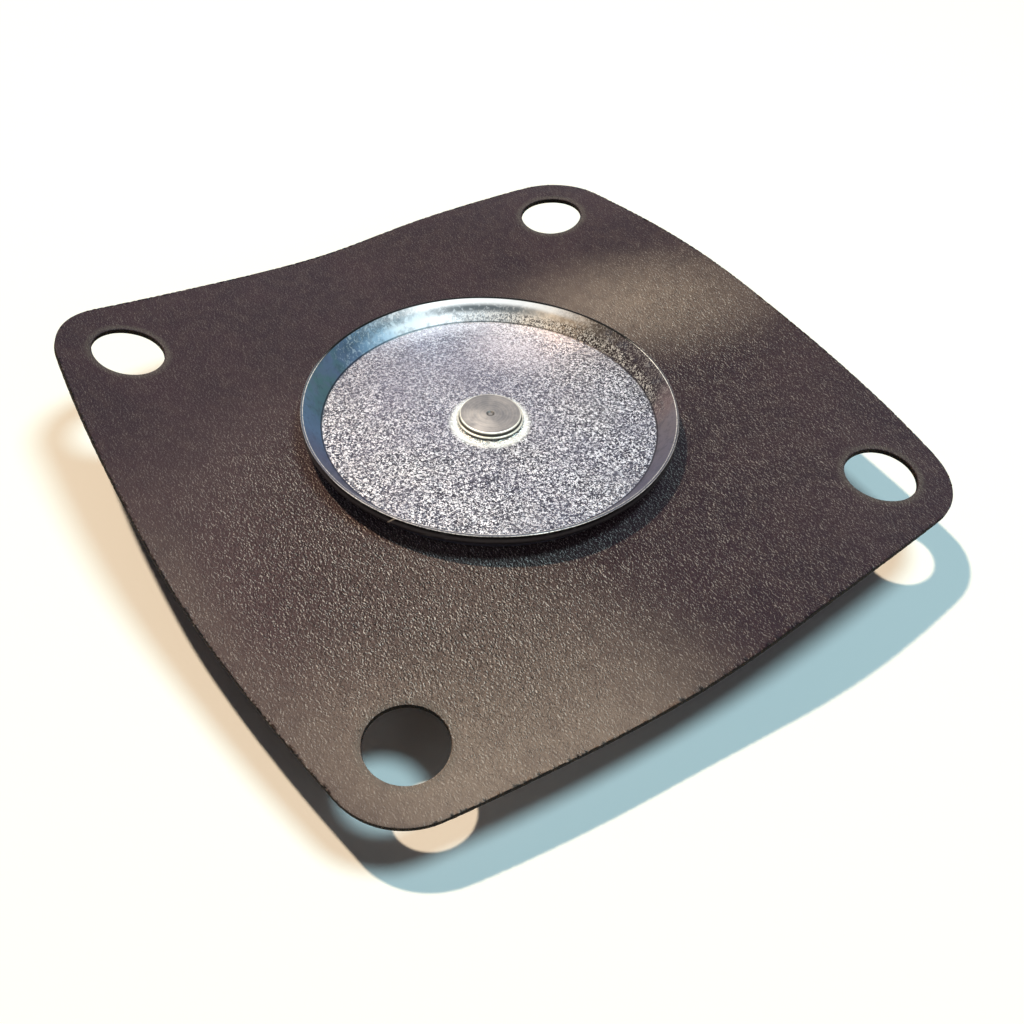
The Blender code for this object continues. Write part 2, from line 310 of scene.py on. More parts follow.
def triangulated(loops, centres, step, rng):
    """Triangles that fill the blank between its cut lines. The lines' points come first."""
    cut = np.vstack(loops)
    edges, owner, start = [], [], 0
    for index, loop in enumerate(loops):
        count = len(loop)
        edges += [(start + i, start + (i + 1) % count) for i in range(count)]
        owner += [index] * count
        start += count
    owner = np.array(owner)
    # A ring of points inside each hole shows which triangles are waste.
    waste = []
    for centre, radius in centres:
        waste += arc(centre, radius - 1.2 * EDGE_STEP, 0, 360, int(40 * radius / MM))[:-1]
    fill = fill_points(step, loops, centres, rng)
    points = np.vstack([cut, np.array(waste), fill])
    first_fill = len(cut) + len(waste)
    made = geometry.delaunay_2d_cdt(
        [Vector(p) for p in points / MM], edges, [], 1, 1e-7, True
    )
    source = np.array([origins[0] for origins in made[3]])
    faces = source[np.array(made[2])]
    backward = twice_areas(points, faces) < 0
    faces[backward] = faces[backward][:, ::-1]
    in_waste = ((faces >= len(cut)) & (faces < first_fill)).any(axis=1)
    # So are the triangles with all three corners on one hole's line, in that line's order.
    on_cut = (faces < len(cut)).all(axis=1)
    loop_of = owner[np.where(on_cut[:, None], faces, 0)]
    on_one_hole = on_cut & (loop_of.min(axis=1) == loop_of.max(axis=1)) & (loop_of.min(axis=1) > 0)
    in_order = twice_areas(points, np.sort(faces, axis=1)) > 0
    faces = faces[~(in_waste | (on_one_hole & in_order))]
    used = np.concatenate([np.arange(len(cut)), np.arange(first_fill, len(points))])
    renumber = np.full(len(points), -1)
    renumber[used] = np.arange(len(used))
    return points[used], renumber[faces]


def sheet_relief(points):
    """Height of the coating's own unevenness above a smooth sheet."""
    height = np.zeros(len(points))
    drawn = points * RELIEF_DRAWN
    layers = ((RELIEF_FINE, drawn), (RELIEF_MIDDLING, drawn), (RELIEF_BROAD, points))
    for index, ((depth, size), places) in enumerate(layers):
        height += depth * lumps(places, size, RELIEF_SEED + 4 * index)
    for centre in bolt_centres():
        out = np.hypot(points[:, 0] - centre[0], points[:, 1] - centre[1]) - BOLT_HOLE_D / 2
        height -= HOLE_DIP_DEPTH * np.exp(-((out / HOLE_DIP_REACH) ** 2))
    return height


def clear_of_plates(points):
    """0 under the clamped plates, where the sheet is pressed flat, rising to 1 outside."""
    radius = np.hypot(points[:, 0], points[:, 1])
    share = np.clip((radius - PRESSED_RADIUS) / PRESSED_FADE, 0, 1)
    return share * share * (3 - 2 * share)


def sheet_surface(points, depth):
    """Flat points moved onto the warped and uneven sheet, at a depth below its upper face."""
    tiny = 0.02 * MM
    middle = warp(points)
    across = warp(points + (tiny, 0.0)) - warp(points - (tiny, 0.0))
    along = warp(points + (0.0, tiny)) - warp(points - (0.0, tiny))
    normal = np.cross(across, along)
    normal /= np.linalg.norm(normal, axis=1)[:, None]
    relief = sheet_relief(points) * clear_of_plates(points)
    return middle + normal * (relief - depth)[:, None]


def boundary(faces, count):
    """Directed edges of triangles that only one triangle uses."""
    directed = np.vstack([faces[:, (0, 1)], faces[:, (1, 2)], faces[:, (2, 0)]])
    keys = directed[:, 0] * count + directed[:, 1]
    reverse = directed[:, 1] * count + directed[:, 0]
    return directed[~np.isin(keys, reverse)]


def make_sheet():
    rng = np.random.default_rng(FILL_SEED)
    loops = cut_loops()
    centres = [(centre, BOLT_HOLE_D / 2) for centre in bolt_centres()]
    centres.append(((0.0, 0.0), PIERCED_RADIUS))
    upper, upper_faces = triangulated(loops, centres, TOP_STEP, rng)
    lower, lower_faces = triangulated(loops, centres, BOTTOM_STEP, rng)
    cut_count = sum(len(loop) for loop in loops)
    edges = boundary(upper_faces, len(upper))
    cut = upper[:cut_count].copy()

    # The way out of the cloth at each point of a cut line
    out = np.zeros_like(cut)
    along = cut[edges[:, 1]] - cut[edges[:, 0]]
    side = np.column_stack([along[:, 1], -along[:, 0]])
    side /= np.linalg.norm(side, axis=1)[:, None]
    np.add.at(out, edges[:, 0], side)
    np.add.at(out, edges[:, 1], side)
    out /= np.maximum(np.linalg.norm(out, axis=1), 1e-9)[:, None]

    upper[:cut_count] -= out * EDGE_CHAMFER
    lower[:cut_count] -= out * EDGE_CHAMFER
    blocks = [sheet_surface(upper, 0.0)]
    for index, (share, stands_out) in enumerate(EDGE_ROWS):
        fibre = stands_out * lumps(cut, FIBRE_SIZE, FIBRE_SEED + 2 * index)
        blocks.append(sheet_surface(cut + out * fibre[:, None], share * SHEET_THICKNESS))
    blocks.append(sheet_surface(lower, SHEET_THICKNESS))
    verts = np.vstack(blocks)
    # Each block's first vertex
    starts = np.cumsum([0] + [len(block) for block in blocks[:-1]])
    faces = [tuple(f) for f in upper_faces]
    faces += [tuple(f[::-1] + starts[-1]) for f in lower_faces]
    for upper_start, lower_start in zip(starts[:-1], starts[1:]):
        for a, b in edges:
            faces.append((b + upper_start, a + upper_start, a + lower_start, b + lower_start))
    sheet = new_mesh_object("sheet_cloth", verts, faces)

    # 1 on the cut edge, where the cloth's fibres show, and 0 on the coated faces
    cut_edge = np.zeros(len(verts), np.float32)
    cut_edge[starts[1] : starts[-1]] = 1.0
    sheet.data.attributes.new("cut_edge", "FLOAT", "POINT").data.foreach_set("value", cut_edge)
    # Distance from the nearest bolt hole's edge, measured in the flat blank
    flat = np.vstack([upper] + [cut] * len(EDGE_ROWS) + [lower])
    near = np.min(
        [np.hypot(flat[:, 0] - c[0], flat[:, 1] - c[1]) for c in bolt_centres()], axis=0
    )
    sheet.data.attributes.new("hole_edge", "FLOAT", "POINT").data.foreach_set(
        "value", ((near - BOLT_HOLE_D / 2) / MM).astype(np.float32)
    )
    return sheet


# Turned pieces


def rounded(corners, closed, longest):
    """A profile through (radius, height, rounding) corners, with an arc at each rounded one,
    a point close on each side of the arc, and long runs divided."""
    count = len(corners)
    points = []
    for index, (r, z, rounding) in enumerate(corners):
        here = np.array((r, z))
        if rounding == 0 or (not closed and index in (0, count - 1)):
            points.append(here)
            continue
        before = np.array(corners[index - 1][:2]) - here
        after = np.array(corners[(index + 1) % count][:2]) - here
        before /= np.linalg.norm(before)
        after /= np.linalg.norm(after)
        half = math.acos(np.clip(before @ after, -1, 1)) / 2
        reach = rounding / math.tan(half)
        middle = (before + after) / np.linalg.norm(before + after) * rounding / math.sin(half)
        start = before * reach - middle
        end = after * reach - middle
        support = min(0.12 * rounding + 0.012 * MM, 0.4 * reach)
        steps = max(3, int(round(math.degrees(math.pi - 2 * half) / 14)))
        points.append(here + before * (reach + support))
        sweep = math.acos(np.clip(start @ end / rounding**2, -1, 1))
        for step in range(steps + 1):
            share = step / steps
            mix = (
                math.sin((1 - share) * sweep) * start + math.sin(share * sweep) * end
            ) / math.sin(sweep)
            points.append(here + middle + mix)
        points.append(here + after * (reach + support))
    pairs = list(zip(points, points[1:] + points[:1])) if closed else list(zip(points, points[1:]))
    divided = []
    for start, end in pairs:
        parts = max(1, math.ceil(np.linalg.norm(end - start) / longest))
        divided += [start + (end - start) * i / parts for i in range(parts)]
    if not closed:
        divided.append(points[-1])
    return np.array(divided)


def turned(name, profile, steps, closed):
    """A solid of revolution. Down its outer side the profile runs from top to bottom."""
    angles = 2 * math.pi * np.arange(steps) / steps
    count = len(profile)
    radius, height = profile[:, 0], profile[:, 1]
    verts = np.empty((steps, count, 3))
    verts[:, :, 0] = np.cos(angles)[:, None] * radius
    verts[:, :, 1] = np.sin(angles)[:, None] * radius
    verts[:, :, 2] = height
    faces = []
    last = count if closed else count - 1
    for s in range(steps):
        t = (s + 1) % steps
        for i in range(last):
            j = (i + 1) % count
            a, b, c, d = s * count + i, s * count + j, t * count + j, t * count + i
            if radius[i] < 1e-9:
                faces.append((i, b, c))
            elif radius[j] < 1e-9:
                faces.append((a, j, d))
            else:
                faces.append((a, b, c, d))
    return new_mesh_object(name, verts.reshape(-1, 3), faces)


def make_spring_plate():
    flare = math.atan2(DISH_RIM_RISE, DISH_WALL_WIDTH)
    lip = DISH_FLOOR_RADIUS + DISH_WALL_WIDTH
    rim = lip + DISH_LIP_LAND
    lip_z = DISH_FLOOR_Z + DISH_RIM_RISE
    cut_height = (DISH_THICKNESS - DISH_LIP_LAND * math.sin(flare)) / math.cos(flare)
    bend = DISH_FLOOR_RADIUS + DISH_THICKNESS * math.tan(flare / 2)
    corners = [
        (lip, lip_z, DISH_EDGE_RADIUS),
        (rim, lip_z, DISH_RIM_RADIUS),
        (rim, lip_z - cut_height, DISH_UNDER_RIM_RADIUS),
        (bend, DISH_BOTTOM_Z, DISH_CREASE_RADIUS + DISH_THICKNESS),
        (PIERCED_RADIUS, DISH_BOTTOM_Z, DISH_EDGE_RADIUS),
        (PIERCED_RADIUS, DISH_FLOOR_Z, DISH_EDGE_RADIUS),
        (DISH_FLOOR_RADIUS, DISH_FLOOR_Z, DISH_CREASE_RADIUS),
    ]
    profile = rounded(corners, closed=True, longest=0.45 * MM)
    plate = turned("spring_plate_dish", profile, steps=300, closed=True)
    points = np.empty(len(plate.data.vertices) * 3)
    plate.data.vertices.foreach_get("co", points)
    points = points.reshape(-1, 3)
    radius = np.hypot(points[:, 0], points[:, 1])
    angle = np.arctan2(points[:, 1], points[:, 0])
    # The press leaves the wall and its edge a little wavy.
    up_wall = np.clip((radius - DISH_FLOOR_RADIUS) / (rim - DISH_FLOOR_RADIUS), 0, 1)
    wave = sum(share * np.sin(count * angle + phase) for count, share, phase in DISH_WAVES)
    grow = 1 - DISH_WAVE_DEPTH * up_wall**2 * (1.2 + wave) / np.maximum(radius, MM)
    points[:, :2] *= grow[:, None]
    plate.data.vertices.foreach_set("co", points.ravel())
    plate.data.update()
    return plate


def make_lower_plate():
    top = LOWER_PLATE_Z + LOWER_THICKNESS
    start = LOWER_RADIUS - LOWER_EDGE_WIDTH
    roll = (LOWER_EDGE_WIDTH**2 + LOWER_EDGE_DROP**2) / (2 * LOWER_EDGE_DROP)
    sweep = math.degrees(math.asin(LOWER_EDGE_WIDTH / roll))
    outer = arc((start, top - roll), roll, 90, 90 - sweep, 5)
    inner = arc((start, top - roll), roll - LOWER_THICKNESS, 90 - sweep, 90, 5)
    corners = [(PIERCED_RADIUS, top, LOWER_PIERCED_EDGE)]
    corners += [(r, z, 0) for r, z in outer[:-1]]
    corners += [(*outer[-1], LOWER_EDGE_RADIUS), (*inner[0], LOWER_EDGE_RADIUS)]
    corners += [(r, z, 0) for r, z in inner[1:]]
    corners.append((PIERCED_RADIUS, LOWER_PLATE_Z, LOWER_PIERCED_EDGE))
    profile = rounded(corners, closed=True, longest=0.5 * MM)
    return turned("lower_plate_washer", profile, steps=240, closed=True)


def make_pin():
    head_top = HEAD_SEAT_Z + HEAD_HEIGHT
    step_z = HEAD_SEAT_Z + HEAD_STEP_HEIGHT
    neck_z = BUTTON_HEIGHT - BUTTON_NECK_HEIGHT
    pip_z = head_top - HEAD_PIP_DEPTH
    corners = [(0.0, pip_z, 0), (HEAD_PIP_FLOOR_RADIUS, pip_z, 0.03 * MM)]
    corners.append((HEAD_PIP_RADIUS, head_top, 0.03 * MM))
    for ring in HEAD_MARK_RADII:
        corners.append((ring - 0.06 * MM, head_top, 0))
        corners.append((ring, head_top - HEAD_MARK_DEPTH, 0))
        corners.append((ring + 0.05 * MM, head_top, 0))
    corners += [
        (HEAD_FACE_RADIUS, head_top, 0.07 * MM),
        (HEAD_FACE_RADIUS, step_z, 0.015 * MM),
        (HEAD_STEP_RADIUS, step_z, 0.045 * MM),
        (HEAD_STEP_RADIUS, HEAD_SEAT_Z + HEAD_SEAT_CHAMFER, 0.010 * MM),
        (HEAD_STEP_RADIUS - HEAD_SEAT_CHAMFER, HEAD_SEAT_Z, 0.010 * MM),
        (SHANK_RADIUS, HEAD_SEAT_Z, 0),
        (SHANK_RADIUS, BUTTON_HEIGHT, 0),
        (BUTTON_NECK_RADIUS, BUTTON_HEIGHT, 0.08 * MM),
        (BUTTON_NECK_RADIUS, neck_z, 0.05 * MM),
        (BUTTON_RADIUS, neck_z, 0.20 * MM),
        (BUTTON_RADIUS, 0.0, BUTTON_EDGE_RADIUS),
        (BUTTON_DIMPLE_RADIUS, 0.0, 0.05 * MM),
        (BUTTON_DIMPLE_RADIUS - 0.1 * MM, BUTTON_DIMPLE_DEPTH, 0.05 * MM),
        (0.0, BUTTON_DIMPLE_DEPTH, 0),
    ]
    profile = rounded(corners, closed=False, longest=0.4 * MM)
    return turned("pin_rivet", profile, steps=160, closed=False)


# Materials


class Nodes:
    """Short forms for building a node tree."""

    def __init__(self, tree):
        self.tree = tree

    def add(self, kind, **settings):
        node = self.tree.nodes.new(kind)
        for key, value in settings.items():
            setattr(node, key, value)
        return node

    def feed(self, socket, value):
        if isinstance(value, bpy.types.NodeSocket):
            self.tree.links.new(value, socket)
        else:
            socket.default_value = value

    def math(self, operation, *values, clamp=False):
        node = self.add("ShaderNodeMath", operation=operation, use_clamp=clamp)
        for socket, value in zip(node.inputs, values):
            self.feed(socket, value)
        return node.outputs[0]

    def times(self, first, *others):
        """The product of the values."""
        for value in others:
            first = self.math("MULTIPLY", first, value)
        return first

    def apart(self, value, place):
        """How far the value lies from that place, on either side."""
        return self.math("ABSOLUTE", self.math("SUBTRACT", value, place))

    def waves(self, value, length):
        """Sine waves of that length along the value."""
        return self.math("SINE", self.times(value, 2 * math.pi / length))

    def camera_rays(self):
        """1 for what the eye sees, by a mirror or through glass too, and 0 for light."""
        path = self.add("ShaderNodeLightPath")
        seen = self.math("ADD", path.outputs["Is Camera Ray"], path.outputs["Is Glossy Ray"])
        return self.math("ADD", seen, path.outputs["Is Transmission Ray"], clamp=True)


class Surface(Nodes):
    """One material, whose patterns lie in the object's own coordinates."""

    def __init__(self, name):
        self.material = bpy.data.materials.new(name)
        self.material.use_nodes = True
        super().__init__(self.material.node_tree)
        self.shader = self.tree.nodes["Principled BSDF"]
        self.object = self.add("ShaderNodeTexCoord").outputs["Object"]

    def stretched(self, x, y, z, turn=0.0, aside=0.0):
        """Object coordinates moved aside, turned about Z and divided by these factors."""
        node = self.add("ShaderNodeMapping", vector_type="TEXTURE")
        node.inputs["Location"].default_value = (aside * math.sin(turn), -aside * math.cos(turn), 0)
        node.inputs["Rotation"].default_value = (0, 0, turn)
        node.inputs["Scale"].default_value = (x, y, z)
        self.feed(node.inputs["Vector"], self.object)
        return node.outputs[0]

    def noise(self, size, detail=2.0, roughness=0.5, distortion=0.0, vector=None):
        """Noise from 0 to 1, with features of about that size."""
        node = self.add("ShaderNodeTexNoise")
        self.feed(node.inputs["Vector"], self.object if vector is None else vector)
        node.inputs["Scale"].default_value = 1 / size
        node.inputs["Detail"].default_value = detail
        node.inputs["Roughness"].default_value = roughness
        node.inputs["Distortion"].default_value = distortion
        return node.outputs[0]

    def slope(self, size, step, turn=0.0, thin=1.0, **kind):
        """How much a noise rises over that step, as side light shows its bumps: 0 is level."""
        here = self.noise(size, vector=self.stretched(1.0, thin, 1.0, turn), **kind)
        beside = self.noise(size, vector=self.stretched(1.0, thin, 1.0, turn, aside=step), **kind)
        return self.math("SUBTRACT", here, beside)

    def between(self, value, low, high, to_low=0.0, to_high=1.0):
        """A smooth step of value from low to high."""
        node = self.add("ShaderNodeMapRange", interpolation_type="SMOOTHSTEP")
        for socket, number in zip(node.inputs, (value, low, high, to_low, to_high)):
            self.feed(socket, number)
        return node.outputs[0]

    def patch(self, centre, reach, turn=0.0):
        """1 in the middle of an oval patch of the plan, falling smoothly to 0 at its edge."""
        node = self.add("ShaderNodeMapping", vector_type="TEXTURE")
        node.inputs["Location"].default_value = (*centre, 0.0)
        node.inputs["Rotation"].default_value = (0, 0, turn)
        node.inputs["Scale"].default_value = (*reach, 1.0)
        self.feed(node.inputs["Vector"], self.object)
        length = self.add("ShaderNodeVectorMath", operation="LENGTH")
        self.feed(length.inputs[0], node.outputs[0])
        return self.between(length.outputs["Value"], 1.0, 0.0)

    def patches(self, start, ovals, clamp=False):
        """Oval patches added to a start value. Each has its middle's x and y and its reach
        along x and y, in millimetres, its turn in degrees and its share."""
        total = start
        for x, y, reach_x, reach_y, turn, share in ovals:
            oval = self.patch((x * MM, y * MM), (reach_x * MM, reach_y * MM), math.radians(turn))
            total = self.math("MULTIPLY_ADD", oval, share, total, clamp=clamp)
        return total

    def sector(self, angle, middle, reach):
        """1 at that angle round the axis, falling smoothly to 0 at reach degrees each side."""
        turned_by = self.math("SUBTRACT", angle, math.radians(middle))
        return self.between(self.math("COSINE", turned_by), math.cos(math.radians(reach)), 1.0)

    def mix(self, share, first, second):
        node = self.add("ShaderNodeMix", data_type="RGBA")
        self.feed(node.inputs[0], share)
        for socket, value in ((node.inputs[6], first), (node.inputs[7], second)):
            self.feed(socket, value if isinstance(value, bpy.types.NodeSocket) else (*value, 1.0))
        return node.outputs[2]

    def ramp(self, value, stops):
        """A colour ramp through (place, colour) stops."""
        node = self.add("ShaderNodeValToRGB")
        self.feed(node.inputs[0], value)
        elements = node.color_ramp.elements
        while len(elements) < len(stops):
            elements.new(0.5)
        for element, (place, colour) in zip(elements, stops):
            element.position = place
            element.color = (*colour, 1.0)
        return node.outputs[0]

    def bump(self, height, depth, below=None):
        """Shifts the surface by height, of that depth in metres where height is 1."""
        node = self.add("ShaderNodeBump")
        node.inputs["Strength"].default_value = 1.0
        node.inputs["Distance"].default_value = depth
        self.feed(node.inputs["Height"], height)
        if below is not None:
            self.feed(node.inputs["Normal"], below)
        return node.outputs[0]

    def position(self):
        """Distance from the rivet's axis, the angle round it from -pi to pi, and the height."""
        split = self.add("ShaderNodeSeparateXYZ")
        self.feed(split.inputs[0], self.object)
        x, y, z = split.outputs
        square = self.math("ADD", self.times(x, x), self.times(y, y))
        return self.math("SQRT", square), self.math("ARCTAN2", y, x), z

    def attribute(self, name):
        return self.add("ShaderNodeAttribute", attribute_name=name).outputs["Fac"]

    def finish(self, **sockets):
        names = {"colour": "Base Color", "ior": "IOR", "specular": "Specular IOR Level"}
        for key, value in sockets.items():
            name = names.get(key, key.replace("_", " ").title())
            if isinstance(value, tuple):
                value = (*value, 1.0)
            self.feed(self.shader.inputs[name], value)
        return self.material


def rubbered_cloth():
    """Thin nitrile on a fine fabric: the grain runs along X, with pale rings at the holes."""
    s = Surface("rubbered_cloth_look")
    grain_turn = math.radians(-6)
    blotch = s.noise(5.0 * MM, detail=4.0)
    mottle = s.noise(0.9 * MM, detail=3.0, roughness=0.6)
    grain = s.slope(0.165 * MM, 0.055 * MM, grain_turn, thin=0.65, detail=1.0, distortion=0.8)
    sparse = s.noise(0.20 * MM, detail=1.0)
    fine = s.noise(0.11 * MM, detail=2.0, roughness=0.6, vector=s.stretched(1.0, 0.6, 1.0))
    streak = s.noise(0.50 * MM, detail=2.5, vector=s.stretched(1.0, 0.16, 1.0, grain_turn))
    # Where the grain's painted glints and shade, and its bumps, are strongest
    glint_and_relief_part = s.patches(
        0.09,
        (
            (7.0, -10.0, 18.0, 14.0, 0, 0.95),
            (-2.0, 17.5, 10.0, 8.0, 0, 0.34),
            (9.0, 0.0, 24.0, 34.0, 0, 0.32),
        ),
        clamp=True,
    )

    tone = s.mix(s.between(blotch, 0.36, 0.66), (0.0150, 0.0045, 0.0120), (0.0240, 0.0085, 0.0165))
    tone = s.mix(s.between(mottle, 0.40, 0.68, 0.0, 0.5), tone, (0.0400, 0.0220, 0.0260))
    # Painted sheen makes the coating paler and browner at the front and by the plate.
    front_sheen = s.patch((8.0 * MM, -13.0 * MM), (23.0 * MM, 19.0 * MM))
    tone = s.mix(s.times(front_sheen, 0.52), tone, (0.170, 0.102, 0.102))
    plate_sheen = s.patch((11.0 * MM, -9.5 * MM), (12.0 * MM, 9.0 * MM))
    tone = s.mix(s.times(plate_sheen, 0.50), tone, (0.230, 0.165, 0.150))
    # Painted sheen in broad bands, broken up by the mottle
    painted_sheen = s.patches(
        0.0,
        (
            (-4.5, 16.0, 12.5, 7.0, 54, 0.88),
            (23.0, -9.0, 15.0, 12.0, 0, 0.86),
            (18.0, -17.5, 12.0, 9.0, 0, 0.74),
            (6.0, -23.0, 14.0, 4.5, 0, 0.25),
        ),
    )
    painted_sheen = s.math("MULTIPLY", painted_sheen, s.between(mottle, 0.30, 0.60, 0.80, 1.0), clamp=True)
    tone = s.mix(painted_sheen, tone, (0.275, 0.205, 0.172))
    # Painted glints on crumbs of the coating's grain, each beside painted shade in its own hollow.
    hollow_shade = s.times(s.between(grain, -0.05, -0.14), s.between(sparse, 0.36, 0.54, 0.35, 1.0))
    tone = s.mix(s.times(hollow_shade, glint_and_relief_part, 0.92), tone, (0.008, 0.004, 0.005))
    crumb = s.times(s.between(grain, 0.07, 0.155), s.between(streak, 0.34, 0.58, 0.50, 1.0))
    crumb = s.times(crumb, s.between(sparse, 0.40, 0.54, 0.15, 1.0))
    crumb = s.times(crumb, s.between(mottle, 0.38, 0.60, 0.80, 1.1))
    tone = s.mix(s.times(crumb, glint_and_relief_part), tone, (1.0, 0.88, 0.84))

    from_hole = s.attribute("hole_edge")
    halo = s.times(s.between(from_hole, 0.02, 0.10), s.between(from_hole, 0.60, 0.15))
    halo = s.times(halo, s.between(fine, 0.36, 0.60, 0.10, 1.0))
    tone = s.mix(s.times(halo, 0.50), tone, (0.140, 0.125, 0.110))

    # The cut edge shows the cloth's fibres; their golden tone is partly painted warm light bounced
    # from the floor.
    cut = s.attribute("cut_edge")
    fibre = s.noise(0.09 * MM, detail=2.0, vector=s.stretched(1.0, 1.0, 0.5))
    cut_tone = s.mix(s.between(fibre, 0.56, 0.70), (0.0045, 0.0035, 0.0035), (0.150, 0.095, 0.045))
    tone = s.mix(s.between(cut, 0.40, 0.90), tone, cut_tone)

    roughness = s.between(grain, -0.15, 0.15, 0.46, 0.34)
    roughness = s.math("ADD", roughness, s.times(cut, 0.5))
    relief = s.bump(s.times(streak, glint_and_relief_part), 0.180 * MM)
    relief = s.bump(s.times(grain, glint_and_relief_part), 0.200 * MM, relief)
    relief = s.bump(fine, 0.040 * MM, relief)
    return s.finish(colour=tone, roughness=roughness, ior=1.5, specular=0.145, normal=relief)


def blue_zinc():
    """Zinc plating under a thin passivation layer: grainy floor, smoother wall with the
    passivation's colours and painted reflections, a polished ring round the rivet."""
    s = Surface("blue_zinc_look")
    radius, angle, height = s.position()
    on_floor = s.between(radius, DISH_FLOOR_RADIUS, DISH_FLOOR_RADIUS - 0.12 * MM)
    upper = s.between(height, DISH_FLOOR_Z - 0.10 * MM, DISH_FLOOR_Z - 0.05 * MM)

    # Etched grain, with painted glints on its short bright worms and painted shade in the dark
    # hollows between them
    worm = s.math("SUBTRACT", s.noise(0.130 * MM, detail=1.0, distortion=1.2), 0.5)
    crumb = s.noise(0.13 * MM, detail=2.0, roughness=0.7)
    patch = s.noise(4.5 * MM, detail=3.0)
    etched = s.between(s.noise(2.0 * MM, detail=2.0), 0.30, 0.60, 0.70, 1.0)
    calm = s.patch((-7.5 * MM, 1.0 * MM), (13.0 * MM, 13.0 * MM))
    etched = s.times(etched, s.math("SUBTRACT", 1.0, s.times(calm, 0.62)))
    floor_tone = s.mix(s.between(patch, 0.35, 0.65), (0.140, 0.139, 0.190), (0.190, 0.188, 0.222))
    floor_tone = s.mix(s.times(calm, 0.68), floor_tone, (0.275, 0.265, 0.345))
    floor_tone = s.mix(s.between(crumb, 0.54, 0.38, 0.0, 0.45), floor_tone, (0.050, 0.050, 0.070))
    floor_tone = s.mix(s.between(crumb, 0.52, 0.68, 0.0, 0.30), floor_tone, (0.75, 0.75, 0.80))
    # Painted highlights on the floor: a patch towards the back, and a paler ring by the back wall
    shine = s.patch((-5.4 * MM, 6.0 * MM), (5.0 * MM, 4.2 * MM), math.radians(35))
    floor_tone = s.mix(s.times(shine, 0.75), floor_tone, (0.60, 0.55, 0.62))
    back_part = s.sector(angle, 145, 60)
    back_rim_highlight = s.times(s.between(radius, 8.8 * MM, 10.3 * MM), back_part)
    floor_tone = s.mix(s.times(back_rim_highlight, 0.7), floor_tone, (0.62, 0.58, 0.65))
    # Painted shade in the grain's hollows, then painted glints on its worms
    dark = s.between(worm, -0.005, -0.060)
    floor_tone = s.mix(s.times(dark, etched, 0.84), floor_tone, (0.022, 0.022, 0.032))
    light = s.between(worm, 0.045, 0.095)
    floor_tone = s.mix(s.times(light, etched, 0.72), floor_tone, (0.95, 0.95, 1.0))

    # The passivation's colours run round the wall as its thickness changes, with painted
    # reflections: pale at the back left, gold at the back and dark at the right.
    turn = s.math("DIVIDE", s.math("ADD", angle, math.pi), 2 * math.pi)
    up_wall = s.math("DIVIDE", s.math("SUBTRACT", height, DISH_FLOOR_Z), DISH_RIM_RISE)
    cloudy = s.noise(1.3 * MM, detail=4.0)
    wander = s.times(s.math("SUBTRACT", cloudy, 0.5), 0.05)
    film_with_reflections = s.ramp(
        s.math("FRACT", s.math("ADD", s.math("ADD", turn, wander), 1.0)),
        [
            (0.000, (0.660, 0.820, 0.890)),
            (0.022, (0.376, 0.578, 0.730)),
            (0.045, (0.150, 0.270, 0.390)),
            (0.065, (0.085, 0.142, 0.230)),
            (0.083, (0.085, 0.135, 0.225)),
            (0.122, (0.085, 0.140, 0.185)),
            (0.180, (0.118, 0.212, 0.350)),
            (0.222, (0.100, 0.128, 0.240)),
            (0.256, (0.085, 0.090, 0.172)),
            (0.320, (0.130, 0.125, 0.190)),
            (0.500, (0.150, 0.145, 0.200)),
            (0.556, (0.165, 0.156, 0.238)),
            (0.600, (0.205, 0.188, 0.240)),
            (0.645, (0.231, 0.200, 0.220)),
            (0.667, (0.210, 0.150, 0.150)),
            (0.692, (0.072, 0.054, 0.060)),
            (0.750, (0.072, 0.054, 0.056)),
            (0.792, (0.115, 0.090, 0.070)),
            (0.822, (0.380, 0.285, 0.200)),
            (0.847, (0.720, 0.580, 0.435)),
            (0.875, (0.620, 0.590, 0.540)),
            (0.917, (0.680, 0.740, 0.770)),
            (0.958, (0.820, 0.900, 0.940)),
            (1.000, (0.660, 0.820, 0.890)),
        ],
    )
    teal_part = s.times(s.sector(angle, -137, 24), s.between(cloudy, 0.44, 0.60))
    film_with_reflections = s.mix(s.times(teal_part, 0.6), film_with_reflections, (0.060, 0.150, 0.150))
    smoky = s.noise(0.55 * MM, detail=4.0, roughness=0.65)
    film_with_reflections = s.mix(s.between(smoky, 0.50, 0.34, 0.0, 0.35), film_with_reflections, (0.045, 0.060, 0.090))
    wisps = s.noise(0.26 * MM, detail=3.0, roughness=0.6, distortion=0.6)
    # A painted reflection makes the wall bright below the lip at the back, round one darker painted
    # spot.
    below_lip_reflection = s.times(s.sector(angle, 152, 46), s.between(up_wall, 0.60, 0.80))
    film_with_reflections = s.mix(s.times(below_lip_reflection, 0.85), film_with_reflections, (0.95, 0.97, 0.96))
    spot = s.times(s.sector(angle, 148, 26), s.between(s.apart(up_wall, 0.58), 0.26, 0.04))
    spot = s.times(spot, s.between(wisps, 0.30, 0.52, 0.45, 1.0))
    film_with_reflections = s.mix(s.times(spot, 0.92), film_with_reflections, (0.080, 0.100, 0.110))
    # Beside it the wall has pale wisps, and painted shade darkens it towards the lip.
    painted_light_part = s.sector(angle, -169, 23)
    upper_wall_shade = s.times(painted_light_part, s.between(up_wall, 0.30, 0.62))
    upper_wall_shade = s.times(upper_wall_shade, s.between(wisps, 0.36, 0.56, 0.35, 1.0))
    film_with_reflections = s.mix(s.times(upper_wall_shade, 0.80), film_with_reflections, (0.040, 0.075, 0.105))
    pale_wisps = s.times(painted_light_part, s.between(wisps, 0.50, 0.66, 0.0, 0.38))
    film_with_reflections = s.mix(pale_wisps, film_with_reflections, (0.62, 0.80, 0.90))
